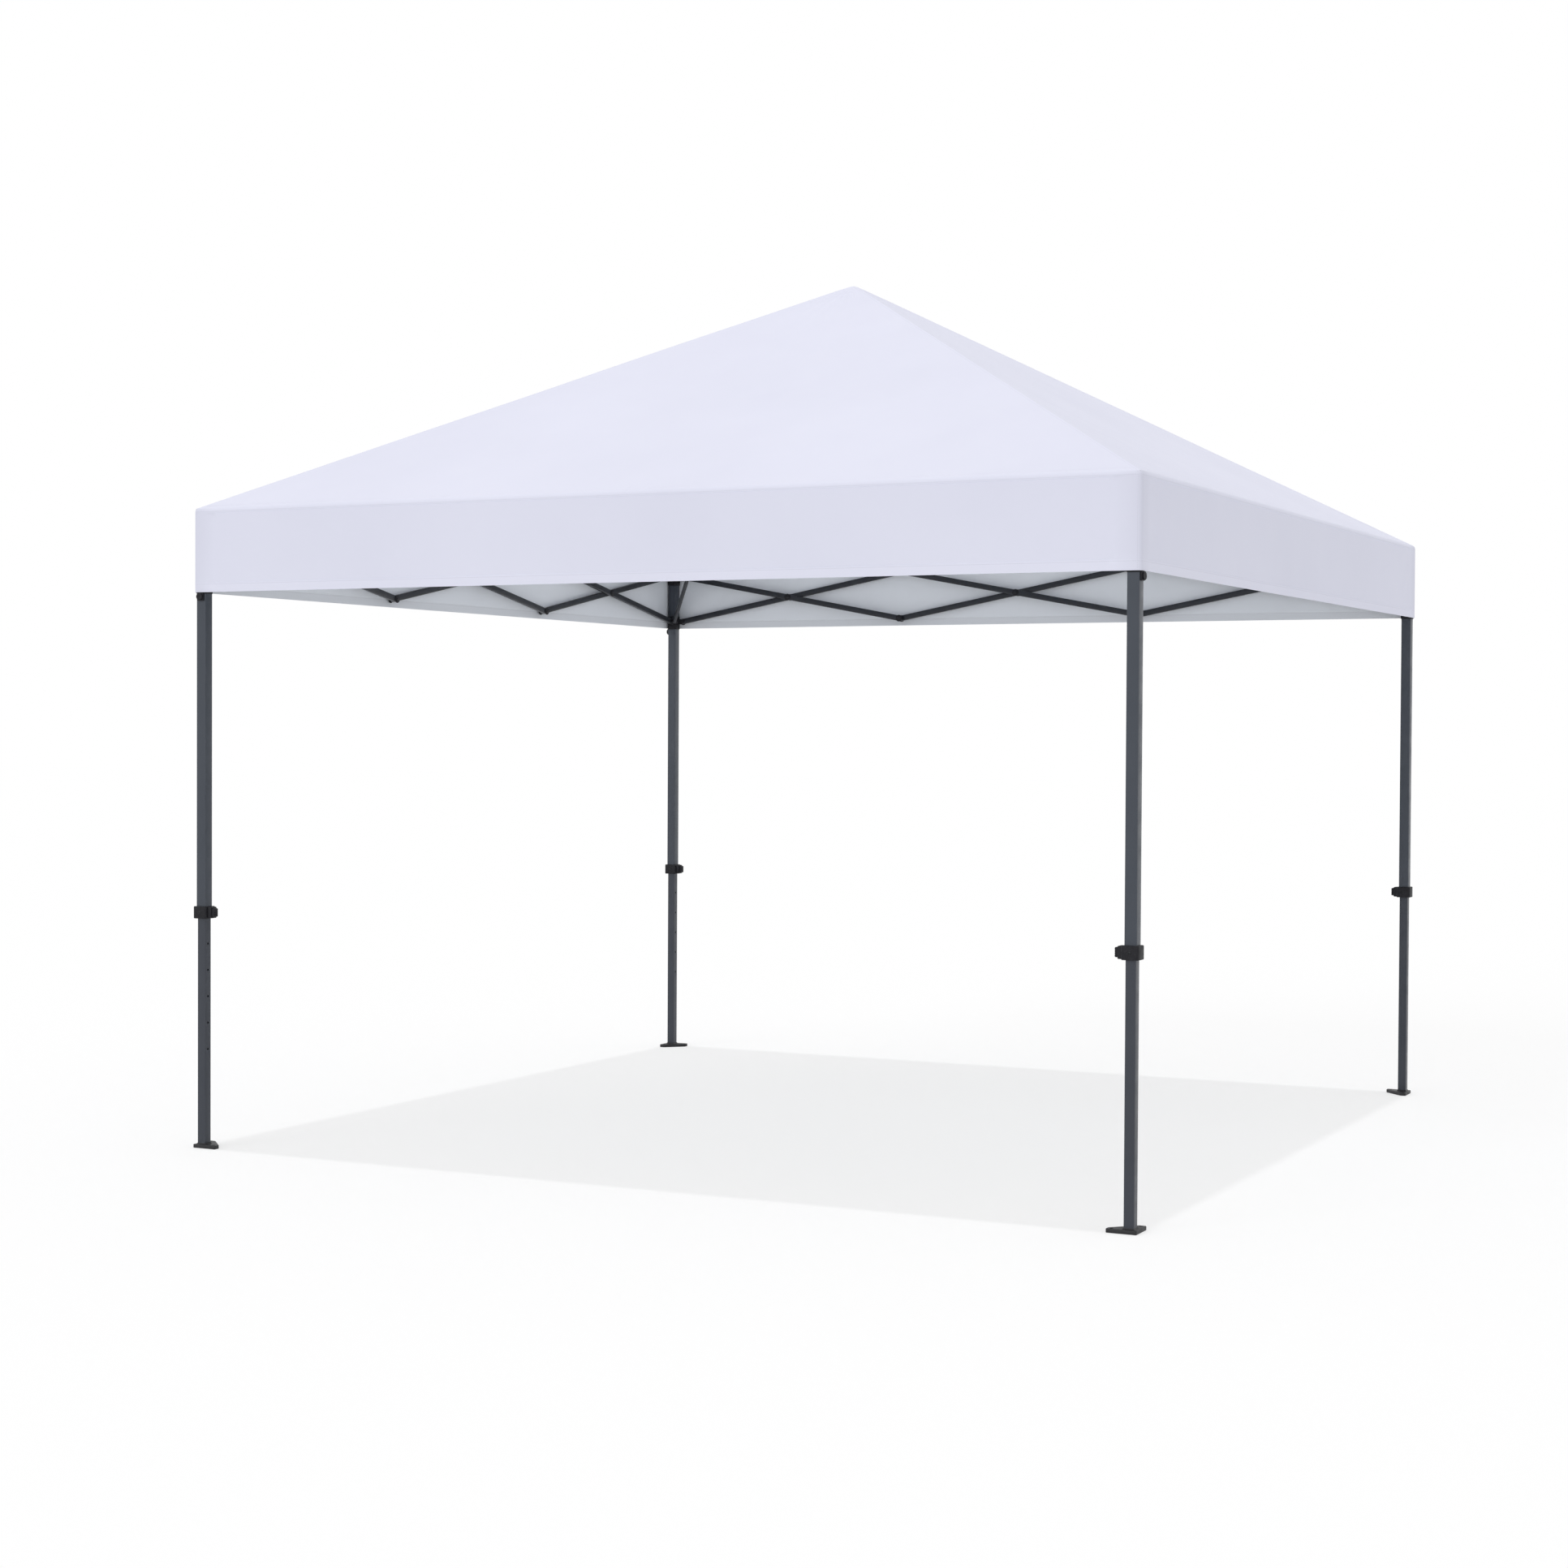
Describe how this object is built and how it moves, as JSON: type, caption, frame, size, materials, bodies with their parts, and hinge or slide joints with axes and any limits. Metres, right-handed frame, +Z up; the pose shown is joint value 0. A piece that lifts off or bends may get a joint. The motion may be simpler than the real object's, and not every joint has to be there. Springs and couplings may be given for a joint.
{
  "type": "pop up canopy",
  "caption": "Square pop-up shelter: a white pyramid fabric roof with a hanging valance on a folding scissor frame with telescoping square-tube legs.",
  "frame": {"origin": "ground level under the peak", "axes": "+Z up, X and Y along the sides; the front side is at -Y"},
  "size_m": [3.0044, 3.0044, 2.735],
  "materials": {
    "fabric": "coated woven polyester, matt",
    "steel": "slate grey powder coat",
    "plastic": "black moulded nylon"
  },
  "bodies": {
    "cover": {"front_rear_cloth": "fabric", "left_right_cloth": "fabric"},
    "hub": {"peak_hub": "plastic", "peak_cap": "plastic"},
    "front_left_upper_rafter": {"front_left_upper_rafter": "steel"},
    "front_left_lower_rafter": {"front_left_lower_rafter": "steel"},
    "front_left_upper_leg": {"front_left_upper_leg": "steel"},
    "front_left_lower_leg": {"front_left_lower_leg": "steel"},
    "front_left_strut": {"front_left_strut": "steel"},
    "front_left_slider": {"front_left_slider": "plastic"},
    "front_left_height_lock": {"front_left_height_lock": "plastic"},
    "front_left_slider_latch": {"front_left_slider_latch": "plastic"},
    "front_bracket_bar_by_front_left": {"front_bracket_bar_by_front_left": "steel"},
    "front_slider_bar_by_front_left": {"front_slider_bar_by_front_left": "steel"},
    "front_centre_bar_by_front_left": {"front_centre_bar_by_front_left": "steel"},
    "left_bracket_bar_by_front_left": {"left_bracket_bar_by_front_left": "steel"},
    "left_slider_bar_by_front_left": {"left_slider_bar_by_front_left": "steel"},
    "left_centre_bar_by_front_left": {"left_centre_bar_by_front_left": "steel"},
    "front_right_upper_rafter": {"front_right_upper_rafter": "steel"},
    "front_right_lower_rafter": {"front_right_lower_rafter": "steel"},
    "front_right_upper_leg": {"front_right_upper_leg": "steel"},
    "front_right_lower_leg": {"front_right_lower_leg": "steel"},
    "front_right_strut": {"front_right_strut": "steel"},
    "front_right_slider": {"front_right_slider": "plastic"},
    "front_right_height_lock": {"front_right_height_lock": "plastic"},
    "front_right_slider_latch": {"front_right_slider_latch": "plastic"},
    "right_bracket_bar_by_front_right": {"right_bracket_bar_by_front_right": "steel"},
    "right_slider_bar_by_front_right": {"right_slider_bar_by_front_right": "steel"},
    "right_centre_bar_by_front_right": {"right_centre_bar_by_front_right": "steel"},
    "front_bracket_bar_by_front_right": {"front_bracket_bar_by_front_right": "steel"},
    "front_slider_bar_by_front_right": {"front_slider_bar_by_front_right": "steel"},
    "front_centre_bar_by_front_right": {"front_centre_bar_by_front_right": "steel"},
    "rear_right_upper_rafter": {"rear_right_upper_rafter": "steel"},
    "rear_right_lower_rafter": {"rear_right_lower_rafter": "steel"},
    "rear_right_upper_leg": {"rear_right_upper_leg": "steel"},
    "rear_right_lower_leg": {"rear_right_lower_leg": "steel"},
    "rear_right_strut": {"rear_right_strut": "steel"},
    "rear_right_slider": {"rear_right_slider": "plastic"},
    "rear_right_height_lock": {"rear_right_height_lock": "plastic"},
    "rear_right_slider_latch": {"rear_right_slider_latch": "plastic"},
    "rear_bracket_bar_by_rear_right": {"rear_bracket_bar_by_rear_right": "steel"},
    "rear_slider_bar_by_rear_right": {"rear_slider_bar_by_rear_right": "steel"},
    "rear_centre_bar_by_rear_right": {"rear_centre_bar_by_rear_right": "steel"},
    "right_bracket_bar_by_rear_right": {"right_bracket_bar_by_rear_right": "steel"},
    "right_slider_bar_by_rear_right": {"right_slider_bar_by_rear_right": "steel"},
    "right_centre_bar_by_rear_right": {"right_centre_bar_by_rear_right": "steel"},
    "rear_left_upper_rafter": {"rear_left_upper_rafter": "steel"},
    "rear_left_lower_rafter": {"rear_left_lower_rafter": "steel"},
    "rear_left_upper_leg": {"rear_left_upper_leg": "steel"},
    "rear_left_lower_leg": {"rear_left_lower_leg": "steel"},
    "rear_left_strut": {"rear_left_strut": "steel"},
    "rear_left_slider": {"rear_left_slider": "plastic"},
    "rear_left_height_lock": {"rear_left_height_lock": "plastic"},
    "rear_left_slider_latch": {"rear_left_slider_latch": "plastic"},
    "left_bracket_bar_by_rear_left": {"left_bracket_bar_by_rear_left": "steel"},
    "left_slider_bar_by_rear_left": {"left_slider_bar_by_rear_left": "steel"},
    "left_centre_bar_by_rear_left": {"left_centre_bar_by_rear_left": "steel"},
    "rear_bracket_bar_by_rear_left": {"rear_bracket_bar_by_rear_left": "steel"},
    "rear_slider_bar_by_rear_left": {"rear_slider_bar_by_rear_left": "steel"},
    "rear_centre_bar_by_rear_left": {"rear_centre_bar_by_rear_left": "steel"}
  },
  "joints": [
    {"name": "fold", "type": "slide", "parent": "cover", "child": "hub", "axis": [0, 0, -1], "range_m": [0, 0.74542], "deforming": ["front_rear_cloth", "left_right_cloth"]},
    {"name": "front_left_upper_rafter_hinge", "type": "hinge", "parent": "hub", "child": "front_left_upper_rafter", "pos_m": [-0.05148, -0.03338, 2.66734], "axis": [0.7071, -0.7071, 0], "range_deg": [0, 66.66]},
    {"name": "front_left_lower_rafter_hinge", "type": "hinge", "parent": "front_left_upper_rafter", "child": "front_left_lower_rafter", "pos_m": [-0.74033, -0.74033, 2.29463], "axis": [-0.7071, 0.7071, 0], "range_deg": [0, 174.69]},
    {"name": "front_left_upper_leg_hinge", "type": "hinge", "parent": "front_left_lower_rafter", "child": "front_left_upper_leg", "pos_m": [-1.43823, -1.43823, 1.92192], "axis": [0.7071, -0.7071, 0], "range_deg": [0, 108.04]},
    {"name": "front_bracket_bar_by_front_left_hinge", "type": "hinge", "parent": "front_left_upper_leg", "child": "front_bracket_bar_by_front_left", "pos_m": [-1.439, -1.475, 1.89], "axis": [0, 1, 0], "range_deg": [0, 74.98]},
    {"name": "front_slider_bar_by_front_left_hinge", "type": "hinge", "parent": "front_bracket_bar_by_front_left", "child": "front_slider_bar_by_front_left", "pos_m": [-0.95933, -1.475, 1.8], "axis": [0, -1, 0], "range_deg": [0, 149.94]},
    {"name": "front_centre_bar_by_front_left_hinge", "type": "hinge", "parent": "front_bracket_bar_by_front_left", "child": "front_centre_bar_by_front_left", "pos_m": [-0.47967, -1.475, 1.71], "axis": [0, -1, 0], "range_deg": [0, 149.94]},
    {"name": "front_left_slider_hinge", "type": "hinge", "parent": "front_slider_bar_by_front_left", "child": "front_left_slider", "pos_m": [-1.439, -1.475, 1.71], "axis": [0, 1, 0], "range_deg": [0, 74.98]},
    {"name": "left_bracket_bar_by_front_left_hinge", "type": "hinge", "parent": "front_left_upper_leg", "child": "left_bracket_bar_by_front_left", "pos_m": [-1.475, -1.439, 1.89], "axis": [-1, 0, 0], "range_deg": [0, 74.98]},
    {"name": "left_slider_bar_by_front_left_hinge", "type": "hinge", "parent": "left_bracket_bar_by_front_left", "child": "left_slider_bar_by_front_left", "pos_m": [-1.475, -0.95933, 1.8], "axis": [1, 0, 0], "range_deg": [0, 149.94]},
    {"name": "left_centre_bar_by_front_left_hinge", "type": "hinge", "parent": "left_bracket_bar_by_front_left", "child": "left_centre_bar_by_front_left", "pos_m": [-1.475, -0.47967, 1.71], "axis": [1, 0, 0], "range_deg": [0, 149.94]},
    {"name": "front_left_strut_hinge", "type": "hinge", "parent": "front_left_slider", "child": "front_left_strut", "pos_m": [-1.43823, -1.43823, 1.71], "axis": [0.7071, -0.7071, 0], "range_deg": [0, 46.4]},
    {"name": "front_left_lower_leg_slide", "type": "slide", "parent": "front_left_upper_leg", "child": "front_left_lower_leg", "axis": [0, 0, 1], "range_m": [0, 0.6]},
    {"name": "front_left_height_lock_press", "type": "slide", "parent": "front_left_upper_leg", "child": "front_left_height_lock", "axis": [-1, 0, 0], "range_m": [0, 0.004]},
    {"name": "front_left_slider_latch_pull", "type": "slide", "parent": "front_left_slider", "child": "front_left_slider_latch", "axis": [0, -1, 0], "range_m": [0, 0.003]},
    {"name": "front_right_upper_rafter_hinge", "type": "hinge", "parent": "hub", "child": "front_right_upper_rafter", "pos_m": [0.03338, -0.05148, 2.66734], "axis": [0.7071, 0.7071, 0], "range_deg": [0, 66.66]},
    {"name": "front_right_lower_rafter_hinge", "type": "hinge", "parent": "front_right_upper_rafter", "child": "front_right_lower_rafter", "pos_m": [0.74033, -0.74033, 2.29463], "axis": [-0.7071, -0.7071, 0], "range_deg": [0, 174.69]},
    {"name": "front_right_upper_leg_hinge", "type": "hinge", "parent": "front_right_lower_rafter", "child": "front_right_upper_leg", "pos_m": [1.43823, -1.43823, 1.92192], "axis": [0.7071, 0.7071, 0], "range_deg": [0, 108.04]},
    {"name": "right_bracket_bar_by_front_right_hinge", "type": "hinge", "parent": "front_right_upper_leg", "child": "right_bracket_bar_by_front_right", "pos_m": [1.475, -1.439, 1.89], "axis": [-1, 0, 0], "range_deg": [0, 74.98]},
    {"name": "right_slider_bar_by_front_right_hinge", "type": "hinge", "parent": "right_bracket_bar_by_front_right", "child": "right_slider_bar_by_front_right", "pos_m": [1.475, -0.95933, 1.8], "axis": [1, 0, 0], "range_deg": [0, 149.94]},
    {"name": "right_centre_bar_by_front_right_hinge", "type": "hinge", "parent": "right_bracket_bar_by_front_right", "child": "right_centre_bar_by_front_right", "pos_m": [1.475, -0.47967, 1.71], "axis": [1, 0, 0], "range_deg": [0, 149.94]},
    {"name": "front_right_slider_hinge", "type": "hinge", "parent": "right_slider_bar_by_front_right", "child": "front_right_slider", "pos_m": [1.475, -1.439, 1.71], "axis": [-1, 0, 0], "range_deg": [0, 74.98]},
    {"name": "front_bracket_bar_by_front_right_hinge", "type": "hinge", "parent": "front_right_upper_leg", "child": "front_bracket_bar_by_front_right", "pos_m": [1.439, -1.475, 1.89], "axis": [0, -1, 0], "range_deg": [0, 74.98]},
    {"name": "front_slider_bar_by_front_right_hinge", "type": "hinge", "parent": "front_bracket_bar_by_front_right", "child": "front_slider_bar_by_front_right", "pos_m": [0.95933, -1.475, 1.8], "axis": [0, 1, 0], "range_deg": [0, 149.94]},
    {"name": "front_centre_bar_by_front_right_hinge", "type": "hinge", "parent": "front_bracket_bar_by_front_right", "child": "front_centre_bar_by_front_right", "pos_m": [0.47967, -1.475, 1.71], "axis": [0, 1, 0], "range_deg": [0, 149.94]},
    {"name": "front_right_strut_hinge", "type": "hinge", "parent": "front_right_slider", "child": "front_right_strut", "pos_m": [1.43823, -1.43823, 1.71], "axis": [0.7071, 0.7071, 0], "range_deg": [0, 46.4]},
    {"name": "front_right_lower_leg_slide", "type": "slide", "parent": "front_right_upper_leg", "child": "front_right_lower_leg", "axis": [0, 0, 1], "range_m": [0, 0.6]},
    {"name": "front_right_height_lock_press", "type": "slide", "parent": "front_right_upper_leg", "child": "front_right_height_lock", "axis": [1, 0, 0], "range_m": [0, 0.004]},
    {"name": "front_right_slider_latch_pull", "type": "slide", "parent": "front_right_slider", "child": "front_right_slider_latch", "axis": [1, 0, 0], "range_m": [0, 0.003]},
    {"name": "rear_right_upper_rafter_hinge", "type": "hinge", "parent": "hub", "child": "rear_right_upper_rafter", "pos_m": [0.05148, 0.03338, 2.66734], "axis": [-0.7071, 0.7071, 0], "range_deg": [0, 66.66]},
    {"name": "rear_right_lower_rafter_hinge", "type": "hinge", "parent": "rear_right_upper_rafter", "child": "rear_right_lower_rafter", "pos_m": [0.74033, 0.74033, 2.29463], "axis": [0.7071, -0.7071, 0], "range_deg": [0, 174.69]},
    {"name": "rear_right_upper_leg_hinge", "type": "hinge", "parent": "rear_right_lower_rafter", "child": "rear_right_upper_leg", "pos_m": [1.43823, 1.43823, 1.92192], "axis": [-0.7071, 0.7071, 0], "range_deg": [0, 108.04]},
    {"name": "rear_bracket_bar_by_rear_right_hinge", "type": "hinge", "parent": "rear_right_upper_leg", "child": "rear_bracket_bar_by_rear_right", "pos_m": [1.439, 1.475, 1.89], "axis": [0, -1, 0], "range_deg": [0, 74.98]},
    {"name": "rear_slider_bar_by_rear_right_hinge", "type": "hinge", "parent": "rear_bracket_bar_by_rear_right", "child": "rear_slider_bar_by_rear_right", "pos_m": [0.95933, 1.475, 1.8], "axis": [0, 1, 0], "range_deg": [0, 149.94]},
    {"name": "rear_centre_bar_by_rear_right_hinge", "type": "hinge", "parent": "rear_bracket_bar_by_rear_right", "child": "rear_centre_bar_by_rear_right", "pos_m": [0.47967, 1.475, 1.71], "axis": [0, 1, 0], "range_deg": [0, 149.94]},
    {"name": "rear_right_slider_hinge", "type": "hinge", "parent": "rear_slider_bar_by_rear_right", "child": "rear_right_slider", "pos_m": [1.439, 1.475, 1.71], "axis": [0, -1, 0], "range_deg": [0, 74.98]},
    {"name": "right_bracket_bar_by_rear_right_hinge", "type": "hinge", "parent": "rear_right_upper_leg", "child": "right_bracket_bar_by_rear_right", "pos_m": [1.475, 1.439, 1.89], "axis": [1, 0, 0], "range_deg": [0, 74.98]},
    {"name": "right_slider_bar_by_rear_right_hinge", "type": "hinge", "parent": "right_bracket_bar_by_rear_right", "child": "right_slider_bar_by_rear_right", "pos_m": [1.475, 0.95933, 1.8], "axis": [-1, 0, 0], "range_deg": [0, 149.94]},
    {"name": "right_centre_bar_by_rear_right_hinge", "type": "hinge", "parent": "right_bracket_bar_by_rear_right", "child": "right_centre_bar_by_rear_right", "pos_m": [1.475, 0.47967, 1.71], "axis": [-1, 0, 0], "range_deg": [0, 149.94]},
    {"name": "rear_right_strut_hinge", "type": "hinge", "parent": "rear_right_slider", "child": "rear_right_strut", "pos_m": [1.43823, 1.43823, 1.71], "axis": [-0.7071, 0.7071, 0], "range_deg": [0, 46.4]},
    {"name": "rear_right_lower_leg_slide", "type": "slide", "parent": "rear_right_upper_leg", "child": "rear_right_lower_leg", "axis": [0, 0, 1], "range_m": [0, 0.6]},
    {"name": "rear_right_height_lock_press", "type": "slide", "parent": "rear_right_upper_leg", "child": "rear_right_height_lock", "axis": [1, 0, 0], "range_m": [0, 0.004]},
    {"name": "rear_right_slider_latch_pull", "type": "slide", "parent": "rear_right_slider", "child": "rear_right_slider_latch", "axis": [0, 1, 0], "range_m": [0, 0.003]},
    {"name": "rear_left_upper_rafter_hinge", "type": "hinge", "parent": "hub", "child": "rear_left_upper_rafter", "pos_m": [-0.03338, 0.05148, 2.66734], "axis": [-0.7071, -0.7071, 0], "range_deg": [0, 66.66]},
    {"name": "rear_left_lower_rafter_hinge", "type": "hinge", "parent": "rear_left_upper_rafter", "child": "rear_left_lower_rafter", "pos_m": [-0.74033, 0.74033, 2.29463], "axis": [0.7071, 0.7071, 0], "range_deg": [0, 174.69]},
    {"name": "rear_left_upper_leg_hinge", "type": "hinge", "parent": "rear_left_lower_rafter", "child": "rear_left_upper_leg", "pos_m": [-1.43823, 1.43823, 1.92192], "axis": [-0.7071, -0.7071, 0], "range_deg": [0, 108.04]},
    {"name": "left_bracket_bar_by_rear_left_hinge", "type": "hinge", "parent": "rear_left_upper_leg", "child": "left_bracket_bar_by_rear_left", "pos_m": [-1.475, 1.439, 1.89], "axis": [1, 0, 0], "range_deg": [0, 74.98]},
    {"name": "left_slider_bar_by_rear_left_hinge", "type": "hinge", "parent": "left_bracket_bar_by_rear_left", "child": "left_slider_bar_by_rear_left", "pos_m": [-1.475, 0.95933, 1.8], "axis": [-1, 0, 0], "range_deg": [0, 149.94]},
    {"name": "left_centre_bar_by_rear_left_hinge", "type": "hinge", "parent": "left_bracket_bar_by_rear_left", "child": "left_centre_bar_by_rear_left", "pos_m": [-1.475, 0.47967, 1.71], "axis": [-1, 0, 0], "range_deg": [0, 149.94]},
    {"name": "rear_left_slider_hinge", "type": "hinge", "parent": "left_slider_bar_by_rear_left", "child": "rear_left_slider", "pos_m": [-1.475, 1.439, 1.71], "axis": [1, 0, 0], "range_deg": [0, 74.98]},
    {"name": "rear_bracket_bar_by_rear_left_hinge", "type": "hinge", "parent": "rear_left_upper_leg", "child": "rear_bracket_bar_by_rear_left", "pos_m": [-1.439, 1.475, 1.89], "axis": [0, 1, 0], "range_deg": [0, 74.98]},
    {"name": "rear_slider_bar_by_rear_left_hinge", "type": "hinge", "parent": "rear_bracket_bar_by_rear_left", "child": "rear_slider_bar_by_rear_left", "pos_m": [-0.95933, 1.475, 1.8], "axis": [0, -1, 0], "range_deg": [0, 149.94]},
    {"name": "rear_centre_bar_by_rear_left_hinge", "type": "hinge", "parent": "rear_bracket_bar_by_rear_left", "child": "rear_centre_bar_by_rear_left", "pos_m": [-0.47967, 1.475, 1.71], "axis": [0, -1, 0], "range_deg": [0, 149.94]},
    {"name": "rear_left_strut_hinge", "type": "hinge", "parent": "rear_left_slider", "child": "rear_left_strut", "pos_m": [-1.43823, 1.43823, 1.71], "axis": [-0.7071, -0.7071, 0], "range_deg": [0, 46.4]},
    {"name": "rear_left_lower_leg_slide", "type": "slide", "parent": "rear_left_upper_leg", "child": "rear_left_lower_leg", "axis": [0, 0, 1], "range_m": [0, 0.6]},
    {"name": "rear_left_height_lock_press", "type": "slide", "parent": "rear_left_upper_leg", "child": "rear_left_height_lock", "axis": [-1, 0, 0], "range_m": [0, 0.004]},
    {"name": "rear_left_slider_latch_pull", "type": "slide", "parent": "rear_left_slider", "child": "rear_left_slider_latch", "axis": [-1, 0, 0], "range_m": [0, 0.003]}
  ],
  "couplings": [
    {"joint": "front_left_upper_rafter_hinge", "follows": "fold", "rad_per_m": 1.5605},
    {"joint": "front_left_lower_rafter_hinge", "follows": "fold", "rad_per_m": 4.0898},
    {"joint": "front_left_upper_leg_hinge", "follows": "fold", "rad_per_m": 2.5293},
    {"joint": "front_bracket_bar_by_front_left_hinge", "follows": "fold", "rad_per_m": 1.7553},
    {"joint": "front_slider_bar_by_front_left_hinge", "follows": "fold", "rad_per_m": 3.5105},
    {"joint": "front_centre_bar_by_front_left_hinge", "follows": "fold", "rad_per_m": 3.5105},
    {"joint": "front_left_slider_hinge", "follows": "fold", "rad_per_m": 1.7553},
    {"joint": "left_bracket_bar_by_front_left_hinge", "follows": "fold", "rad_per_m": 1.7553},
    {"joint": "left_slider_bar_by_front_left_hinge", "follows": "fold", "rad_per_m": 3.5105},
    {"joint": "left_centre_bar_by_front_left_hinge", "follows": "fold", "rad_per_m": 3.5105},
    {"joint": "front_left_strut_hinge", "follows": "fold", "rad_per_m": 1.0862},
    {"joint": "front_right_upper_rafter_hinge", "follows": "fold", "rad_per_m": 1.5605},
    {"joint": "front_right_lower_rafter_hinge", "follows": "fold", "rad_per_m": 4.0898},
    {"joint": "front_right_upper_leg_hinge", "follows": "fold", "rad_per_m": 2.5293},
    {"joint": "right_bracket_bar_by_front_right_hinge", "follows": "fold", "rad_per_m": 1.7553},
    {"joint": "right_slider_bar_by_front_right_hinge", "follows": "fold", "rad_per_m": 3.5105},
    {"joint": "right_centre_bar_by_front_right_hinge", "follows": "fold", "rad_per_m": 3.5105},
    {"joint": "front_right_slider_hinge", "follows": "fold", "rad_per_m": 1.7553},
    {"joint": "front_bracket_bar_by_front_right_hinge", "follows": "fold", "rad_per_m": 1.7553},
    {"joint": "front_slider_bar_by_front_right_hinge", "follows": "fold", "rad_per_m": 3.5105},
    {"joint": "front_centre_bar_by_front_right_hinge", "follows": "fold", "rad_per_m": 3.5105},
    {"joint": "front_right_strut_hinge", "follows": "fold", "rad_per_m": 1.0862},
    {"joint": "rear_right_upper_rafter_hinge", "follows": "fold", "rad_per_m": 1.5605},
    {"joint": "rear_right_lower_rafter_hinge", "follows": "fold", "rad_per_m": 4.0898},
    {"joint": "rear_right_upper_leg_hinge", "follows": "fold", "rad_per_m": 2.5293},
    {"joint": "rear_bracket_bar_by_rear_right_hinge", "follows": "fold", "rad_per_m": 1.7553},
    {"joint": "rear_slider_bar_by_rear_right_hinge", "follows": "fold", "rad_per_m": 3.5105},
    {"joint": "rear_centre_bar_by_rear_right_hinge", "follows": "fold", "rad_per_m": 3.5105},
    {"joint": "rear_right_slider_hinge", "follows": "fold", "rad_per_m": 1.7553},
    {"joint": "right_bracket_bar_by_rear_right_hinge", "follows": "fold", "rad_per_m": 1.7553},
    {"joint": "right_slider_bar_by_rear_right_hinge", "follows": "fold", "rad_per_m": 3.5105},
    {"joint": "right_centre_bar_by_rear_right_hinge", "follows": "fold", "rad_per_m": 3.5105},
    {"joint": "rear_right_strut_hinge", "follows": "fold", "rad_per_m": 1.0862},
    {"joint": "rear_left_upper_rafter_hinge", "follows": "fold", "rad_per_m": 1.5605},
    {"joint": "rear_left_lower_rafter_hinge", "follows": "fold", "rad_per_m": 4.0898},
    {"joint": "rear_left_upper_leg_hinge", "follows": "fold", "rad_per_m": 2.5293},
    {"joint": "left_bracket_bar_by_rear_left_hinge", "follows": "fold", "rad_per_m": 1.7553},
    {"joint": "left_slider_bar_by_rear_left_hinge", "follows": "fold", "rad_per_m": 3.5105},
    {"joint": "left_centre_bar_by_rear_left_hinge", "follows": "fold", "rad_per_m": 3.5105},
    {"joint": "rear_left_slider_hinge", "follows": "fold", "rad_per_m": 1.7553},
    {"joint": "rear_bracket_bar_by_rear_left_hinge", "follows": "fold", "rad_per_m": 1.7553},
    {"joint": "rear_slider_bar_by_rear_left_hinge", "follows": "fold", "rad_per_m": 3.5105},
    {"joint": "rear_centre_bar_by_rear_left_hinge", "follows": "fold", "rad_per_m": 3.5105},
    {"joint": "rear_left_strut_hinge", "follows": "fold", "rad_per_m": 1.0862}
  ]
}
